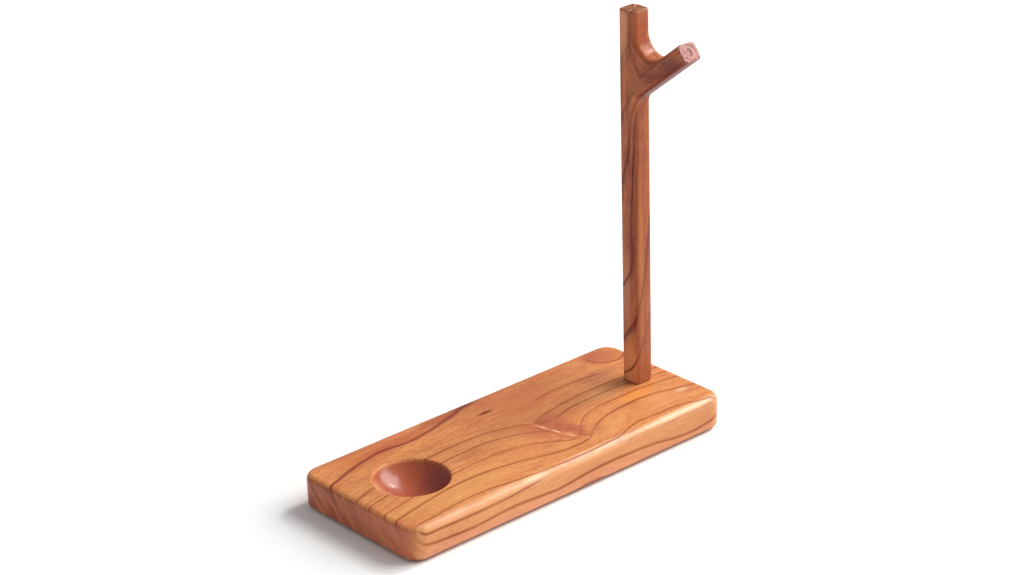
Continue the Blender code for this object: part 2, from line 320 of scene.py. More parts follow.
def tenon_profile():
    """From the shoulder: the turned tenon, its chamfer, and the pilot hole with the drill's point."""
    shoulder = BOARD_HIGH.z + POST_SHOULDER
    end = POST_LOW.z
    tip = SCREW_HIGH.z
    return [
        (TENON_RADIUS, shoulder),
        (TENON_RADIUS, end + TENON_CHAMFER),
        (TENON_RADIUS - TENON_CHAMFER, end),
        (PILOT_RADIUS, end),
        (PILOT_RADIUS, tip),
        (0, tip + PILOT_RADIUS),
    ]


def make_post(finish):
    """The forked post, sawn from one plank, its arrises rounded and its foot turned to a tenon."""
    bm = bmesh.new()
    outline = [bm.verts.new((POST_LOW.x, y, z)) for y, z in fork_outline()]
    side = bm.faces.new(outline)
    other = bmesh.ops.extrude_face_region(bm, geom=[side])["geom"]
    moved = [v for v in other if isinstance(v, bmesh.types.BMVert)]
    bmesh.ops.translate(bm, vec=(POST_SIDE, 0, 0), verts=moved)
    bmesh.ops.recalc_face_normals(bm, faces=bm.faces)
    arrises = [e for e in bm.edges if abs(e.verts[0].co.x - e.verts[1].co.x) < MM]
    bevel(bm, arrises, ARRIS_RADIUS, 8)
    out = Vector((0, -math.cos(BRANCH_RISE), math.sin(BRANCH_RISE)))
    root = Vector((0, 0, BOARD_HIGH.z + BRANCH_ROOT))
    shoulder = BOARD_HIGH.z + POST_SHOULDER
    cut_end(bm, Vector((0, 0, POST_HIGH.z)), Vector((0, 0, 1)))
    cut_end(bm, root + out * BRANCH_LENGTH, out)
    cut_end(bm, Vector((0, 0, shoulder)), Vector((0, 0, -1)))
    foot = min(bm.faces, key=lambda f: f.calc_center_median().z)
    bmesh.ops.delete(bm, geom=[foot], context="FACES_ONLY")
    spin_profile(bm, tenon_profile(), (POST_X, 0), 32)
    weld(bm)
    fill_flat(bm, shoulder, (0, 0, -1))
    # a narrow border keeps the shading of the flat sides flat
    flats = [f for f in bm.faces if len(f.verts) > 12]
    bmesh.ops.inset_individual(bm, faces=flats, thickness=0.12 * MM, use_even_offset=True)
    piece("forked_post_wood", bm, "forked_post", finish)


def make_pad(corner, finish):
    """A moulded rubber foot: a flat ring to stand on round a shallow hollow."""
    low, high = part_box(f"foot_pad_{corner}")
    middle = (low + high) / 2
    radius = (high.x - low.x) / 2
    hollow_radius, hollow_depth, round_over, ease = 2.6 * MM, 0.35 * MM, 0.45 * MM, 0.1 * MM
    edge = arc((radius - round_over, low.z + round_over), round_over, -math.pi / 2, 0, 6)
    profile = [
        (0, low.z + hollow_depth),
        (hollow_radius - hollow_depth, low.z + hollow_depth),
        (hollow_radius, low.z),
        *edge,
        (radius, high.z - ease),
        (radius - ease, high.z),
        (0, high.z),
    ]
    bm = bmesh.new()
    spin_profile(bm, profile, middle.xy, 48)
    piece(f"rubber_foot_{corner}", bm, f"foot_pad_{corner}", finish)


def make_washer(finish):
    inner, outer = 2.05 * MM, (WASHER_HIGH.x - WASHER_LOW.x) / 2
    low, high = WASHER_LOW.z, WASHER_HIGH.z
    ease = 0.15 * MM
    profile = [
        (inner, low + ease),
        (inner + ease, low),
        (outer - ease, low),
        (outer, low + ease),
        (outer, high),
        (inner, high),
        (inner, low + ease),
    ]
    bm = bmesh.new()
    spin_profile(bm, profile, (POST_X, 0), 48)
    piece("steel_washer", bm, "screw_washer", finish, sharp=30)


def make_screw(finish):
    """A pan-head wood screw, point up, with a real helical thread and a cross recess."""
    core, crest = 1.2 * MM, 1.75 * MM
    pitch, point = 1.6 * MM, 4 * MM
    head_radius, head_height = (SCREW_HIGH.x - SCREW_LOW.x) / 2, 2.4 * MM
    flat, dome, ease = 0.55 * head_radius, 1.7 * MM, 0.12 * MM
    face, tip = SCREW_LOW.z, SCREW_HIGH.z
    seat = face + head_height
    crown = [
        (flat + (head_radius - flat) * math.sin(turn), face + dome * (1 - math.cos(turn)))
        for turn in (math.pi / 2 * i / 8 for i in range(9))
    ]
    rim = [(head_radius, seat - ease), (head_radius - ease, seat)]
    shank = [(core, seat), (core, tip - point), (0, tip)]
    bm = bmesh.new()
    spin_profile(bm, [*crown, *rim, *shank], (POST_X, 0), 48)
    weld(bm)
    make_recess(bm, face)
    add_thread(bm, core, crest, pitch, seat + 1.2 * pitch, tip, point)
    piece("wood_screw", bm, "post_screw", finish, sharp=30)


def add_thread(bm, core, crest, pitch, start, tip, point):
    """Sweeps a ridge up round the shank, rising out of it at the start and sinking into the point."""
    steps, sunk, blunt = 24, 0.85 * core, 0.1
    turns = (tip - start - 0.3 * point) / pitch
    ridge = [(sunk, -0.3 * pitch), (crest, 0), (sunk, 0.3 * pitch)]
    verts = [bm.verts.new((POST_X + radius, 0, start + rise)) for radius, rise in ridge]
    first = bm.faces.new(verts)
    before = set(bm.verts) - set(verts)
    last = bmesh.ops.spin(
        bm,
        geom=list(first.edges),
        cent=(POST_X, 0, 0),
        axis=(0, 0, 1),
        dvec=(0, 0, pitch / steps),
        angle=FULL_TURN * turns,
        steps=round(steps * turns),
    )["geom_last"]
    bmesh.ops.contextual_create(bm, geom=[e for e in last if isinstance(e, bmesh.types.BMEdge)])
    for vert in set(bm.verts) - before:
        axis = Vector((POST_X, 0, vert.co.z))
        spoke = vert.co - axis
        rising = min(1, max(0, (vert.co.z - start) / pitch))
        taper = min(1, max(0, (tip - vert.co.z) / point))
        proud = max(0, spoke.length - sunk) * rising
        vert.co = axis + spoke.normalized() * (sunk + proud) * (blunt + (1 - blunt) * taper)


def make_recess(bm, face):
    """The cross recess in the screw's face: a cross-shaped opening, and its tapered walls and floor."""
    reach, half, depth, taper = 1.75 * MM, 0.42 * MM, 1.5 * MM, 0.35
    corner = [(reach, -half), (reach, half), (half, half)]
    outline = [
        Vector((POST_X, 0, face)) + Matrix.Rotation(math.pi / 2 * quarter, 3, "Z") @ Vector((x, y, 0))
        for quarter in range(4)
        for x, y in corner
    ]
    verts = [bm.verts.new(place) for place in outline]
    rim = [bm.edges.new(pair) for pair in zip(verts, verts[1:] + verts[:1])]
    open_edges = [e for e in bm.edges if e.is_boundary and abs(e.verts[0].co.z - face) < TOUCHING]
    walls = bmesh.ops.extrude_edge_only(bm, edges=rim)["geom"]
    bmesh.ops.triangle_fill(bm, use_beauty=True, edges=[*rim, *open_edges], normal=(0, 0, -1))
    floor = [v for v in walls if isinstance(v, bmesh.types.BMVert)]
    bmesh.ops.translate(bm, vec=(0, 0, depth), verts=floor)
    centre = Matrix.Translation((-POST_X, 0, 0))
    bmesh.ops.scale(bm, vec=(taper, taper, 1), verts=floor, space=centre)
    floor_edges = [e for e in bm.edges if e.is_boundary and all(v in floor for v in e.verts)]
    bmesh.ops.contextual_create(bm, geom=floor_edges)


# ---------------------------------------------------------------- finishes

SMOOTH = {"interpolation_type": "SMOOTHSTEP"}  # a Map Range that starts and ends gently

def linear(colour):
    """An sRGB hex colour as linear red, green, blue and alpha."""
    parts = [int(colour[i : i + 2], 16) / 255 for i in (1, 3, 5)]
    return (*[c / 12.92 if c <= 0.04045 else ((c + 0.055) / 1.055) ** 2.4 for c in parts], 1)


def fill(node, *values, **named):
    """Sets a shader node's sockets, in order or by name, to plain values or to other nodes' outputs."""
    in_order = zip([socket for socket in node.inputs if socket.enabled], values)
    by_name = ((node.inputs[name.replace("_", " ")], value) for name, value in named.items())
    for socket, value in [*in_order, *by_name]:
        if isinstance(value, bpy.types.Node):
            value = next(output for output in value.outputs if output.enabled)
        if isinstance(value, bpy.types.NodeSocket):
            node.id_data.links.new(value, socket)
        else:
            socket.default_value = value


def new_finish(name, **shader_sockets):
    """A material. Returns it, its Principled shader, and the function that adds nodes to it."""
    made = bpy.data.materials.new(name)
    made.use_nodes = True
    shader = made.node_tree.nodes["Principled BSDF"]
    fill(shader, **shader_sockets)

    def add(kind, *values, **named):
        """Adds a node. Values fill its sockets in order. A name is one of its settings, or a socket."""
        node = made.node_tree.nodes.new(f"ShaderNode{kind}")
        for setting in [name for name in named if hasattr(node, name)]:
            setattr(node, setting, named.pop(setting))
        fill(node, *values, **named)
        return node

    return made, shader, add


# ---------------------------------------------------------------- wood

# A noise's scale is in features a metre, unless its coordinates are an angle or have been scaled already.

SPAN = 100 * MM  # the width of wood that a growth line's curve is drawn in

# The board's growth lines as they cross its top, from the front edge to the back: (x, y) in millimetres.
# "width" is a line's own. "shows" is the stretch of x where it can be seen, "front" is where it runs on
# the front edge, and "under" is how deep below the top it starts. The last line but one is a plum streak.
BOARD_LINES = (
    {
        "path": ((-90, -35.4), (-40, -35.2), (-10, -36.6), (30, -36.4), (90, -36.2)),
        "under": 1.6,
        "width": 0.38,
    },
    {
        "path": (
            (-90, -34.7), (-66, -31.6), (-46, -30.7), (-30, -33), (-12, -34.8), (16, -35.2),
            (30, -34.2), (38, -31.3), (46, -29.8), (56, -30.8), (67, -31.2), (78, -34.6), (90, -36),
        ),
        "front": (
            (-90, -32.6), (-62, -30.7), (-36, -31.5), (-10, -30.7), (16, -31.8), (44, -31.2),
            (70, -29.6), (90, -31.5),
        ),
        "shows": (-86, 100),
        "width": 0.42,
    },
    {
        "path": (
            (-90, -25), (-66, -20.2), (-50, -18.3), (-30, -19), (-15, -22.3), (-3, -25.9), (8, -27.6),
            (17, -27), (26, -21.2), (36, -16.8), (47, -15), (67, -15.2), (78, -18.5), (90, -21.8),
        ),
        "width": 0.55,
    },
    {
        "path": (
            (-90, -17.8), (-66, -13.2), (-43, -10), (-28, -9.3), (-15, -10), (-4, -13), (6, -18.4),
            (14, -22.5), (21, -18), (29, -11.2), (38, -7.9), (52, -7.2), (70, -7.8), (90, -10.9),
        ),
        "width": 0.45,
    },
    {
        "path": (
            (-90, -7.7), (-76, -5.4), (-60, -1.6), (-42, 0.9), (-28, 1.5), (-15, 1.2), (-4, -1.7),
            (6, -6.2), (12, -9.2), (17, -6), (24, -1.9), (34, 0.6), (52, 1), (68, 0.3), (80, -1.9),
            (90, -3.6),
        ),
        "width": 0.45,
    },
    {
        "path": (
            (-90, 0), (-76, 3.8), (-58, 7.2), (-43, 8.6), (-28, 9), (-14, 8.4), (-3, 6.3), (6, 3.1),
            (11, 0.3), (15, 2.4), (23, 4.2), (36, 6.2), (50, 7.2), (64, 6.9), (76, 5.2), (90, 2),
        ),
        "width": 0.5,
    },
    {
        "path": (
            (-90, 10), (-40, 17), (0, 17), (27, 16.8), (37, 18.1), (48, 18), (60, 16.9), (70, 14), (90, 8),
        ),
        "shows": (26, 66),
        "width": 0.5,
    },
    {
        "path": (
            (-90, 17.2), (-84, 19.2), (-72, 23.6), (-62, 26), (-52, 27.2), (-40, 25.5), (-28, 26.9),
            (-15, 30), (-4, 33.4), (8, 36.6), (30, 41), (60, 42.5), (90, 45),
        ),
        "width": 0.7,
    },
    {"path": ((-90, 40.5), (-60, 42.6), (-30, 42), (0, 44.5), (30, 47), (90, 52)), "width": 0.5},
)
BOARD_LEAN = 0.7  # how far a growth line moves back for each millimetre up through the board
END_LEAN = 1.15  # the same for the bands in its end grain

# The post's growth lines as they cross its side: (height above the board's underside, y) in millimetres.
POST_LINES = (
    {"path": ((0, 12), (16, 6), (22, -1.2), (32, -9), (45, -16), (60, -24), (190, -60)), "width": 0.7},
    {"path": ((0, 20), (30, 7), (42, -1.2), (57, -9.5), (75, -14), (110, -22), (190, -50)), "width": 0.9},
    {
        "path": (
            (0, 28), (55, 8), (63, 2.5), (70, -1.2), (80, -2.5), (95, -1.9), (112, -3.1), (131, -5),
            (160, -14), (190, -30),
        ),
        "width": 0.6,
    },
    {
        "path": ((0, 36), (105, 5), (114, 2.2), (129, -1.3), (142, -3.1), (152, -6), (190, -22)),
        "width": 0.6,
    },
    {
        "path": ((0, 42), (136, 5), (143, 2.3), (152, -1.9), (160, -4.4), (175, -10), (190, -16)),
        "width": 0.6,
    },
    {"path": ((0, 48), (163, 5), (170, 1), (178, -2.5), (190, -6.5)), "width": 0.5},
)
POST_LEAN = -1.5  # how far a growth line moves back for each millimetre through the post from its side

YEW_GOLD = linear("#d99255")
YEW_ORANGE = linear("#cb7440")
YEW_RED = linear("#a85034")
YEW_PLUM = linear("#7e3a2e")
YEW_LINE = linear("#8c3608")


def drawn_line(add, along, path, length, middle):
    """Where a line lies across the grain, as a share of SPAN, at each place along it."""
    drawn = add("FloatCurve", Value=along)
    points = drawn.mapping.curves[0].points
    places = [(x * MM / length + middle, y * MM / SPAN + 0.5) for x, y in path]
    for place in places[1:-1]:
        points.new(*place)
    points[0].location, points[-1].location = places[0], places[-1]
    drawn.mapping.update()
    return drawn


def growth(add, along, across, lines, length, middle, depth=None):
    """Each growth line's mark, from 0 to 1, and a ring count that rises by one from each to the next."""
    marks, rings, last = [], 0.0, None
    for line in lines:
        path = drawn_line(add, along, line["path"], length, middle)
        if "front" in line:
            front = drawn_line(add, along, line["front"], length, middle)
            path = add("MapRange", depth, 1 * MM, 5 * MM, path, front)  # from the top over to the edge
        off = add("Math", across, path, operation="SUBTRACT")
        gap = add("Math", off, operation="ABSOLUTE")
        width = line["width"] * MM / SPAN
        mark = add("MapRange", gap, 0.1 * width, 2.2 * width, 1.0, 0.0, **SMOOTH)
        if "under" in line:
            start = line["under"] * MM
            sunk = add("MapRange", depth, start - 0.5 * MM, start + 0.5 * MM)
            mark = add("Math", mark, sunk, operation="MULTIPLY")
        for end, way in zip(line.get("shows", ()), (1, -1)):
            place = end * MM / length + middle
            fade = way * 5 * MM / length
            shown = add("MapRange", along, place - fade, place + fade, **SMOOTH)
            mark = add("Math", mark, shown, operation="MULTIPLY")
        marks.append(mark)
        if last is not None:
            rise = add("MapRange", across, last, path)
            rings = add("Math", rings, rise, operation="ADD")
        last = path
    return marks, rings


def strongest(add, marks):
    lines = marks[0]
    for mark in marks[1:]:
        lines = add("Math", lines, mark, operation="MAXIMUM")
    return lines


def paint(add, under, colour, *shares):
    """Lays a colour over another where all the shares, each from 0 to 1, multiply to something."""
    share = shares[0]
    for other in shares[1:]:
        share = add("Math", share, other, operation="MULTIPLY")
    return add("Mix", share, under, colour, data_type="RGBA")


def spot(add, place, centre, size):
    """One in the middle of an oval in the wood, falling to nothing at its skin. In millimetres."""
    moved = add(
        "Mapping", place, Vector(centre) * MM, (0.0, 0.0, 0.0), Vector(size) * MM, vector_type="TEXTURE"
    )
    off = add("VectorMath", moved, operation="LENGTH").outputs["Value"]
    return add("MapRange", off, 1.0, 0.2, **SMOOTH)


def band(add, value, middle, half):
    """One where a value is at the middle of a band, falling to nothing at its two sides."""
    off = add("Math", value, middle, operation="SUBTRACT")
    gap = add("Math", off, operation="ABSOLUTE")
    return add("MapRange", gap, half, 0.15 * half, **SMOOTH)


def yew(add, place, along, rings, gold, orange, red, plum):
    """The wood between the growth lines: silky streaks, clouds of colour and late wood.

    Also returns the clouds, so that the lines can come and go with them.
    """
    streak_length, clouds_size = 24 * MM, (0.03, 0.012, 0.012)
    run = add("Math", along, 1 / streak_length, operation="MULTIPLY")
    grain = add("CombineXYZ", run, add("Math", rings, 10.0, operation="MULTIPLY"))
    streaks = add("TexNoise", grain, 1.0, 4.0, 0.62)
    tone = paint(add, gold, orange, add("MapRange", streaks, 0.36, 0.66, **SMOOTH))
    clouded = add("Mapping", place, Scale=[1 / size for size in clouds_size])
    clouds = add("TexNoise", clouded, 1.0, 3.0, 0.6)
    tone = paint(add, tone, red, add("MapRange", clouds, 0.48, 0.78, 0.0, 0.6, **SMOOTH))
    tone = paint(add, tone, gold, add("MapRange", clouds, 0.5, 0.25, 0.0, 0.6, **SMOOTH))
    late = add("Math", rings, operation="FRACT")
    tone = paint(add, tone, plum, add("MapRange", late, 0.45, 1.0, 0.0, 0.08, **SMOOTH))
    return tone, clouds


def flecked(add, tone, dashes, dark, light, light_share):
    """Short dark and light dashes along the grain. Also returns their noise, for the surface's relief.

    They are 2.5 mm long and half a millimetre wide, far coarser than the fibres, so that they show.
    """
    flecks = add("TexNoise", dashes, 1.0, 2.0)
    tone = paint(add, tone, dark, add("MapRange", flecks, 0.52, 0.75, 0.0, 0.55))
    tone = paint(add, tone, light, add("MapRange", flecks, 0.46, 0.25, 0.0, light_share))
    return tone, flecks


def lacquer(add, shader, place, flecks, waves, strength, height):
    """The surface: fine relief of the flecks in the wood, and long slow waves in the film over it."""
    relief = add("Bump", Height=flecks, Strength=0.2, Distance=0.03 * MM)
    ripple = add("TexNoise", add("Mapping", place, Scale=waves), 1.0, 3.0)
    film = add("Bump", Height=ripple, Strength=strength, Distance=height)
    fill(shader, Normal=relief, Coat_Normal=film)


def finish_board():
    """Clear-lacquered yew, planed and sanded, for the board.

    Golden orange-brown, with thin dark growth lines that swing round a small crease, a plum streak of
    darker wood at the back, redder end grain and a satin sheen.
    """
    finish, shader, add = new_finish(
        "clear-lacquered yew, flat sawn",
        Roughness=0.5,
        Specular_IOR_Level=0.1,
        IOR=1.5,
        Coat_Weight=0.35,
        Coat_Roughness=0.23,
        Coat_IOR=1.5,
    )
    coordinates = add("TexCoord")
    place, facing = coordinates.outputs["Object"], coordinates.outputs["Normal"]
    x, y, z = add("SeparateXYZ", place).outputs
    sway = add("TexNoise", place, 60.0, 3.0)
    sway = add("Math", sway, 1.1 * MM, -0.55 * MM, operation="MULTIPLY_ADD")
    depth = add("Math", BOARD_HIGH.z, z, operation="SUBTRACT")
    leaning = add("Math", depth, BOARD_LEAN, y, operation="MULTIPLY_ADD")
    leaning = add("Math", leaning, sway, operation="ADD")
    across = add("Math", leaning, 1 / SPAN, 0.5, operation="MULTIPLY_ADD")
    along = add("Math", x, 1 / BOARD_LENGTH, 0.5, operation="MULTIPLY_ADD")
    marks, rings = growth(add, along, across, BOARD_LINES, BOARD_LENGTH, 0.5, depth)

    tone, clouds = yew(add, place, x, rings, YEW_GOLD, YEW_ORANGE, YEW_RED, YEW_PLUM)
    dashes = add("Mapping", place, Scale=(400.0, 1900.0, 1900.0))
    tone, flecks = flecked(add, tone, dashes, YEW_RED, linear("#f0b070"), 0.4)
    tone = board_tones(add, tone, place)
    tone, clear = crease(add, tone, place, x, leaning, across)

    # painted highlight: the front arris is painted pale and patchy where the lamps' broad highlight runs
    # along it, weaker toward the dish end
    arris = band(add, leaning, -35.4 * MM, 2.6 * MM)
    arris = add("Math", arris, add("MapRange", depth, 3.4 * MM, 2 * MM), operation="MULTIPLY")
    patchy_highlight = add("MapRange", clouds, 0.35, 0.6, 0.25, 0.85, **SMOOTH)
    from_end = add("MapRange", x, -85 * MM, -40 * MM, 0.2, 1.0)
    # the pale colour here is a painted highlight
    tone = paint(add, tone, linear("#f6c69c"), arris, patchy_highlight, from_end)

    # the growth lines, each fading and darkening along its way, and the wider plum streak
    worn = add("MapRange", clouds, 0.3, 0.6, 0.5, 0.78)
    lines, plum_streak = strongest(add, marks), marks[-2]
    tone = paint(add, tone, YEW_LINE, lines, worn, clear)
    tone = paint(add, tone, linear("#7a2a1c"), plum_streak, 0.6)

    # painted light: the front and back edges are painted paler by the way they face; they are pinker low
    # down in the wood, and painted shade darkens them toward the post, where the key falls stronger
    split = add("SeparateXYZ", facing).outputs
    edge = add("Math", split["Y"], operation="ABSOLUTE")
    edge = add("MapRange", edge, 0.6, 0.95, **SMOOTH)
    low = add("MapRange", depth, 8.5 * MM, 12.5 * MM, **SMOOTH)
    edge_light_and_grain_tone = paint(add, linear("#e7a36d"), linear("#eaa482"), low)
    # painted shade toward the post
    painted_shade_toward_post = add("MapRange", x, 0.0, 70 * MM, 0.0, 0.4)
    edge_light_and_grain_tone = paint(add, edge_light_and_grain_tone, linear("#b4703f"), painted_shade_toward_post)
    painted_light_edged = paint(add, tone, edge_light_and_grain_tone, edge, 0.5)
    tone = paint(add, painted_light_edged, tone, lines)

    # redder end grain, with the rings showing as broad slanting bands
    end = add("Math", split["X"], operation="ABSOLUTE")
    end = add("MapRange", end, 0.55, 0.95, **SMOOTH)
    slant = add("Math", depth, END_LEAN, y, operation="MULTIPLY_ADD")
    slant = add("Math", slant, 1 / (4.5 * MM), operation="MULTIPLY")
    slant = add("TexNoise", add("CombineXYZ", slant, add("Math", z, 90.0, operation="MULTIPLY")), 1.0, 2.0)
    banded = add("MapRange", slant, 0.4, 0.62, **SMOOTH)
    end_tone = paint(add, linear("#92402f"), linear("#bf684a"), banded)
    near = add("MapRange", y, 12 * MM, -16 * MM, **SMOOTH)
    end_tone = paint(add, end_tone, linear("#cc7456"), near, 0.55)
    tone = paint(add, tone, end_tone, end, 0.8)

    # inside the dish the wood is painted darker and redder
    from_dish = add("VectorMath", place, (DISH_X, 0, BOARD_HIGH.z), operation="DISTANCE").outputs["Value"]
    in_dish = add("MapRange", from_dish, 17.5 * MM, 16 * MM, **SMOOTH)
    below = add("MapRange", depth, 0.3 * MM, 1.6 * MM, **SMOOTH)
    below = add("Math", below, add("MapRange", depth, 12 * MM, 10.5 * MM), operation="MULTIPLY")
    tone = paint(add, tone, linear("#a8482a"), in_dish, below, 0.85)
    # painted shade on the dish's wall toward the post, which faces away from the key, and painted light on
    # its lit wall toward the end
    for colour, wall, share in (
        ("#80281e", spot(add, place, (-46.5, -7, 9), (14, 18, 12)), 0.95),
        ("#e09a62", spot(add, place, (-74, 3, 13), (10, 14, 9)), 0.8),
    ):
        tone = paint(add, tone, linear(colour), in_dish, below, wall, share)
    burnished = add("MapRange", add("Math", in_dish, below, operation="MULTIPLY"), 0.0, 1.0, 0.35, 0.8)
    fill(shader, Base_Color=tone, Coat_Weight=burnished)
    lacquer(add, shader, place, flecks, (90.0, 300.0, 300.0), 0.5, 0.45 * MM)
    return finish


def board_tones(add, tone, place):
    """Patches of other colours on the board's top: each has its centre, half sizes and share. A few are
    painted shadow, painted light and painted highlight.
    """
    for centre, size, colour, share in (
        ((25, 32), (85, 16), "#b0603c", 0.45),
        ((5, 8), (26, 16), "#b4623c", 0.35),
        ((76, 30), (14, 12), "#a4503c", 0.5),
        ((-50, -22), (50, 14), "#e6a55e", 0.45),
        ((62, -20), (36, 12), "#e6a468", 0.3),
        ((15, -26), (30, 9), "#e0a060", 0.3),
        ((60, -10.5), (17, 4.5), "#ea9440", 0.5),
        # painted shadow of the post, behind it
        ((62, 16), (18, 7), "#a8604a", 0.5),
        ((0, 37), (13, 6), "#6e2430", 0.85),
        ((-60, 27), (24, 7), "#b8582e", 0.5),
        ((-60, 35), (36, 6), "#b45a38", 0.55),
        ((10, -8), (16, 8), "#aa5236", 0.5),
        ((36, 8), (14, 7), "#b05a38", 0.35),
        ((86, 10), (6, 5), "#a8583c", 0.5),
        # painted light where the post's shadow falls beside it
        ((52, 1), (12, 6), "#f4b478", 0.35),
        # painted highlight: two pale strips along the front arris
        ((-22, -36), (8, 2.5), "#f8cca4", 0.7),
        ((60, -36), (30, 2.5), "#f8cca4", 0.5),
        ((-16, 32.5), (20, 5), "#9a4429", 0.55),
        ((73, 30), (6, 7), "#b0553c", 0.45),
        ((79.5, -21), (5, 3), "#edbd94", 0.55),
        ((-62, -13), (16, 5), "#ea9a48", 0.5),
        ((20, 20), (30, 13), "#b9643c", 0.55),
        ((22, -4), (30, 12), "#c2683c", 0.4),
        ((-44, 28.5), (26, 5), "#b24a2c", 0.6),
        ((-76, 22), (14, 3.5), "#b04c2c", 0.45),
        ((27, -36), (5, 1.6), "#8c3a44", 0.8),
        ((35, -34.5), (7, 1.1), "#a5564e", 0.7),
        ((-70, 28), (16, 6), "#c8763e", 0.35),
    ):
        tone = paint(add, tone, linear(colour), spot(add, place, (*centre, 16), (*size, 6)), share)
    # a small swirl by the back corner, and a sliver of bark
    y = add("SeparateXYZ", place).outputs["Y"]
    from_swirl = add("VectorMath", place, Vector((80, 31, 15)) * MM, operation="DISTANCE").outputs["Value"]
    ring = band(add, from_swirl, 10.3 * MM, 1.3 * MM)
    seen = add("MapRange", y, 33 * MM, 28 * MM, **SMOOTH)
    tone = paint(add, tone, linear("#8c3f26"), ring, seen, 0.6)
    bark = spot(add, place, (2.5, 23.1, 16), (6.4, 2, 3))
    return paint(add, tone, linear("#80380a"), bark, 0.95)


def crease(add, tone, place, x, leaning, across):
    """The crease where the growth lines turn: a pale fold with a dark edge, and blotchy red wood.

    Also returns how clearly the growth lines show, which is less in the red wood.
    """
    # where the fold lies: (across the grain, along it) in millimetres
    path = ((-50, 24), (-26, 18.7), (-20, 15.6), (-10, 12.5), (0.4, 10), (50, 8))
    fold = drawn_line(add, across, path, SPAN, 0.5)
    fold = add("Math", fold, SPAN, -SPAN / 2, operation="MULTIPLY_ADD")
    right = add("Math", x, fold, operation="SUBTRACT")
    blotches = add("TexNoise", place, 170.0, 4.0, 0.65)
    ragged = add("Math", blotches, 5 * MM, -2.5 * MM, operation="MULTIPLY_ADD")
    right = add("Math", ragged, right, operation="ADD")
    front = add("MapRange", leaning, -29 * MM, -23 * MM, **SMOOTH)
    back = add("MapRange", leaning, 5 * MM, -3 * MM, **SMOOTH)
    blotched = add("MapRange", blotches, 0.36, 0.6, 0.3, 1.0, **SMOOTH)
    rise = add("MapRange", right, -2 * MM, 2.5 * MM, **SMOOTH)
    fall = add("MapRange", right, 17 * MM, 5 * MM, **SMOOTH)
    tone = paint(add, tone, linear("#a44c3a"), rise, fall, blotched, front, back, 0.75)
    rise = add("MapRange", right, -13 * MM, -2 * MM, **SMOOTH)
    fall = add("MapRange", right, 1 * MM, -1 * MM, **SMOOTH)
    tone = paint(add, tone, linear("#c0623a"), rise, fall, blotched, front, back, 0.5)
    patchy = add("MapRange", blotches, 0.6, 0.42, 0.1, 1.0, **SMOOTH)
    dark_edge = band(add, right, -2.4 * MM, 1 * MM)
    tone = paint(add, tone, linear("#9a441c"), dark_edge, patchy, front, back, 0.7)
    pale_fold = band(add, right, -0.5 * MM, 1.6 * MM)
    tone = paint(add, tone, linear("#f4b488"), pale_fold, patchy, front, back, 0.75)
    reddest = add("MapRange", right, -4 * MM, 0.0, **SMOOTH)
    reddest = add("Math", reddest, add("MapRange", right, 14 * MM, 5 * MM, **SMOOTH), operation="MULTIPLY")
    reddest = add("Math", reddest, front, operation="MULTIPLY")
    return tone, add("MapRange", reddest, 0.0, 1.0, 1.0, 0.4)


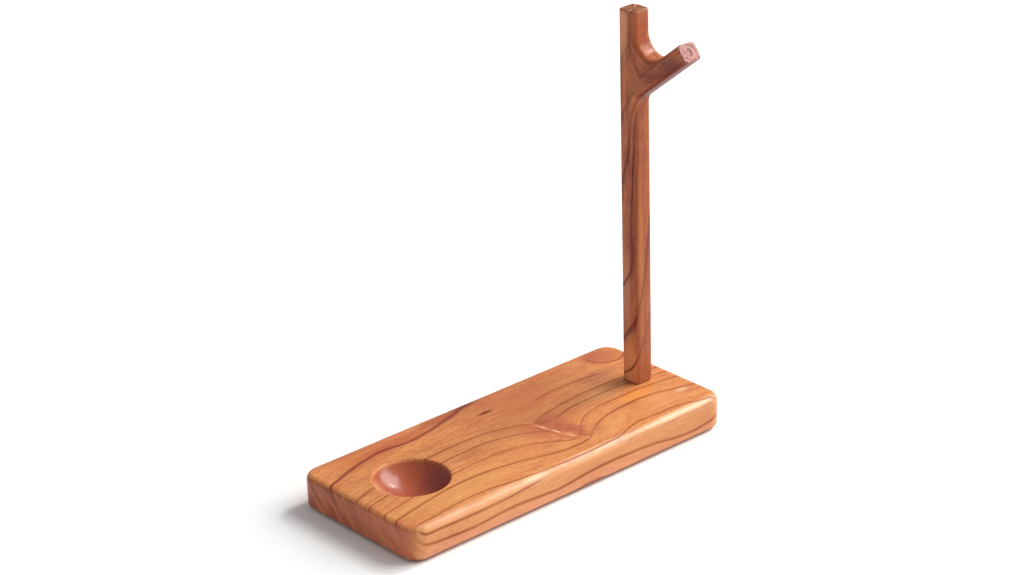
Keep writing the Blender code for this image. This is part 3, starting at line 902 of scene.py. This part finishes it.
def finish_post():
    """Clear-lacquered yew, darker and redder than the board's, sanded by hand round the fork.

    The growth lines climb the post at a slant, with plum late wood below each, and bend into the branch.
    """
    finish, shader, add = new_finish(
        "clear-lacquered yew, sawn to a fork",
        Roughness=0.5,
        Specular_IOR_Level=0.1,
        IOR=1.5,
        Coat_Weight=0.25,
        Coat_Roughness=0.22,
        Coat_IOR=1.5,
    )
    coordinates = add("TexCoord")
    place, facing = coordinates.outputs["Object"], coordinates.outputs["Normal"]
    x, y, z = add("SeparateXYZ", place).outputs
    length = POST_HIGH.z - BOARD_LOW.z
    # places along and above the branch's axis
    root = BOARD_HIGH.z + BRANCH_ROOT
    up = add("Math", z, root, operation="SUBTRACT")
    turned = add("Mapping", add("CombineXYZ", x, y, up), Rotation=(BRANCH_RISE, 0.0, 0.0))
    _, out, above = add("SeparateXYZ", turned).outputs
    out = add("Math", out, -1.0, operation="MULTIPLY")
    forward = add("MapRange", y, -1 * MM, -9 * MM, **SMOOTH)
    high = add("MapRange", up, -26 * MM, -6 * MM, **SMOOTH)
    in_branch = add("Math", forward, high, operation="MULTIPLY")
    branch_height = add("Math", out, root - BOARD_LOW.z, operation="ADD")
    height = add("Math", z, BOARD_LOW.z, operation="SUBTRACT")
    height = add("Mix", in_branch, height, branch_height)
    side = add("Mix", in_branch, y, above)

    sway = add("TexNoise", place, 80.0, 3.0)
    sway = add("Math", sway, 1.6 * MM, -0.8 * MM, operation="MULTIPLY_ADD")
    inward = add("Math", x, POST_LOW.x, operation="SUBTRACT")
    leaning = add("Math", inward, POST_LEAN, side, operation="MULTIPLY_ADD")
    leaning = add("Math", leaning, sway, operation="ADD")
    across = add("Math", leaning, 1 / SPAN, 0.5, operation="MULTIPLY_ADD")
    along = add("Math", height, 1 / length, operation="MULTIPLY")
    marks, rings = growth(add, along, across, POST_LINES, length, 0.0)
    gold, orange, red, plum = (linear(c) for c in ("#c07248", "#a65132", "#8c3829", "#662622"))
    tone, clouds = yew(add, place, height, rings, gold, orange, red, plum)
    bent = add("CombineXYZ", x, side, height)
    dashes = add("Mapping", bent, Scale=(1900.0, 1900.0, 400.0))
    tone, flecks = flecked(add, tone, dashes, red, linear("#cf8a58"), 0.3)
    # stronger late wood than the board's, and long fibres
    late = add("Math", rings, operation="FRACT")
    tone = paint(add, tone, plum, add("MapRange", late, 0.5, 1.0, 0.0, 0.45, **SMOOTH))
    fibres = add("TexNoise", add("Mapping", bent, Scale=(650.0, 650.0, 22.0)), 1.0, 3.0, 0.6)
    tone = paint(add, tone, linear("#702a14"), add("MapRange", fibres, 0.5, 0.7, 0.0, 0.6, **SMOOTH))
    tone = paint(add, tone, linear("#dc8e58"), add("MapRange", fibres, 0.46, 0.3, 0.0, 0.4, **SMOOTH))
    for centre, size, colour, share in (
        ((68, 2.6, 184), (4, 5.2, 24), "#d8966e", 0.85),
        ((68, -2.4, 182), (4, 1.8, 15), "#6b3214", 0.55),
        ((73, -5.5, 182), (5, 3, 9), "#cf5a2e", 0.5),
        ((68, -5, 160), (4, 6, 9), "#9c5c30", 0.45),
        ((68, -28, 172), (7, 11, 7), "#5e2630", 0.65),
        ((68, -20, 165), (7, 17, 11), "#6e2a20", 0.45),
        ((68, 0, 24), (6, 9, 22), "#eca06e", 0.85),
        ((68, 2, 60), (4, 5, 30), "#d48a68", 0.6),
        # painted highlight: a paler orange stripe along the front arris
        ((71.2, -5, 78), (2.6, 2, 60), "#d68446", 0.65),
        ((76, -5, 120), (3, 2, 40), "#c56a3a", 0.4),
    ):
        tone = paint(add, tone, linear(colour), spot(add, place, centre, size), share)
    lines = strongest(add, marks)
    faded = add("MapRange", height, 125 * MM, 155 * MM, 0.85, 0.2, **SMOOTH)
    tone = paint(add, tone, linear("#62160e"), lines, faded, add("MapRange", clouds, 0.3, 0.6, 0.7, 1.0))
    # painted shade: the front of the post is painted darker, and paler again low down, and the underside
    # of the branch is painted dark
    split = add("SeparateXYZ", facing).outputs
    front_light_and_shade = add("MapRange", split["Y"], -0.5, -0.95, 0.0, 0.4, **SMOOTH)
    tone = paint(add, tone, linear("#8a421e"), front_light_and_shade)
    tone = paint(add, tone, linear("#b87250"), front_light_and_shade, add("MapRange", height, 90 * MM, 20 * MM))
    # painted shade under the branch
    below = add("MapRange", split["Z"], -0.25, -0.6, **SMOOTH)
    tone = paint(add, tone, linear("#6a2c24"), below, in_branch, 0.8)

    # the sawn end of the branch: pale, with broken rings round a small dark pith
    end_of_branch = add("MapRange", out, BRANCH_LENGTH - 0.7 * MM, BRANCH_LENGTH - 0.25 * MM, **SMOOTH)
    off_axis = add("CombineXYZ", add("Math", x, POST_X, operation="SUBTRACT"), above)
    blotches = add("TexNoise", place, 450.0, 3.0)
    radius = add("VectorMath", off_axis, operation="LENGTH").outputs["Value"]
    radius = add("Math", blotches, 4 * MM, radius, operation="MULTIPLY_ADD")
    ring_gap = 1.7 * MM
    ringed = add("Math", add("Math", radius, FULL_TURN / ring_gap, operation="MULTIPLY"), operation="SINE")
    broken = add("MapRange", blotches, 0.42, 0.58, 0.4, 1.0)
    ringed = add("MapRange", ringed, 0.0, 0.9)
    pale = paint(add, linear("#b98076"), linear("#643430"), ringed, broken)
    pith = spot(add, off_axis, (0.3, 0.2, 0), (0.9, 2.2, 3))
    pale = paint(add, pale, linear("#4a262a"), pith, 0.9)
    tone = paint(add, tone, pale, end_of_branch, 0.95)

    # the sawn top: brown end grain with pale rays
    top = add("MapRange", z, POST_HIGH.z - 0.5 * MM, POST_HIGH.z - 0.1 * MM, **SMOOTH)
    turn = add("Math", y, add("Math", x, POST_X, operation="SUBTRACT"), operation="ARCTAN2")
    rays = add("TexNoise", add("CombineXYZ", turn, 0.0, 0.0), 2.6, 1.0)
    rayed = paint(add, linear("#7c4426"), linear("#d09a6e"), add("MapRange", rays, 0.5, 0.68, **SMOOTH))
    tone = paint(add, tone, rayed, top, 0.9)
    fill(shader, Base_Color=tone)
    lacquer(add, shader, place, flecks, (300.0, 300.0, 90.0), 0.3, 0.2 * MM)
    return finish


# ---------------------------------------------------------------- steel and rubber


def finish_steel():
    """Bright zinc-plated steel: pale, faintly bluish and clouded, with soft streaks of shine."""
    finish, shader, add = new_finish("bright zinc-plated steel", Metallic=1.0, Roughness=0.3)
    clouds = add("TexNoise", add("TexCoord").outputs["Object"], 900.0, 3.0)
    tone = paint(add, linear("#b4bac4"), linear("#d3d3cd"), add("MapRange", clouds, 0.35, 0.65))
    fill(shader, Base_Color=tone, Roughness=add("MapRange", clouds, 0.3, 0.7, 0.22, 0.4))
    return finish


def finish_rubber():
    """Moulded black rubber: near black and dull, with the fine grain of the mould."""
    finish, shader, add = new_finish("moulded black rubber", Roughness=0.7, IOR=1.52)
    grain = add("TexNoise", add("TexCoord").outputs["Object"], 3000.0, 2.0)
    tone = paint(add, linear("#141415"), linear("#28282a"), add("MapRange", grain, 0.35, 0.65))
    fill(shader, Base_Color=tone, Normal=add("Bump", Height=grain, Strength=0.5, Distance=0.05 * MM))
    return finish


# ---------------------------------------------------------------- studio


def soft_light(name, azimuth, elevation, distance, size, strength):
    """A square lamp that faces the stand. Azimuth turns from the front (-Y) toward the post's end (+X).

    Strength is what a white card that faced the lamp would give back.
    """
    azimuth, elevation = math.radians(azimuth), math.radians(elevation)
    toward = Vector(
        (
            math.cos(elevation) * math.sin(azimuth),
            -math.cos(elevation) * math.cos(azimuth),
            math.sin(elevation),
        )
    )
    data = bpy.data.lights.new(name, "AREA")
    data.shape = "SQUARE"
    data.size = size
    data.energy = strength * math.pi**2 * distance**2
    lamp = bpy.data.objects.new(name, data)
    turn = toward.to_track_quat("Z", "Y").to_matrix().to_4x4()
    lamp.matrix_world = Matrix.Translation(toward * distance) @ turn
    bpy.context.scene.collection.objects.link(lamp)


def make_floor():
    bm = bmesh.new()
    bmesh.ops.create_grid(bm, x_segments=1, y_segments=1, size=4)
    mesh = bpy.data.meshes.new("floor")
    bm.to_mesh(mesh)
    bm.free()
    finish, _, _ = new_finish("matt white paper", Roughness=0.9, Base_Color=linear("#f2f1ef"))
    mesh.materials.append(finish)
    floor = bpy.data.objects.new("floor", mesh)
    bpy.context.scene.collection.objects.link(floor)


def light_studio():
    """A big soft key over the post's end, a weak fill from the front and an even pale surround.

    A small accent lamp beside the key gives the lacquer its highlights.
    """
    soft_light("key", 69, 43, 3.0, 2.2, 1.16)
    soft_light("front fill", 30, 18, 2.5, 1.1, 0.1)
    soft_light("accent", 87, 46, 3.0, 0.45, 0.25)
    world = bpy.data.worlds.new("surround")
    world.use_nodes = True
    sky = world.node_tree.nodes["Background"]
    sky.inputs["Color"].default_value = linear("#f4f5f7")
    sky.inputs["Strength"].default_value = 0.45
    bpy.context.scene.world = world
    bpy.context.scene.view_settings.view_transform = "Standard"


make_camera()
board_finish = finish_board()
post_finish = finish_post()
rubber = finish_rubber()
steel = finish_steel()
make_board(board_finish)
make_post(post_finish)
for corner in PADS:
    make_pad(corner, rubber)
make_washer(steel)
make_screw(steel)
make_floor()
light_studio()
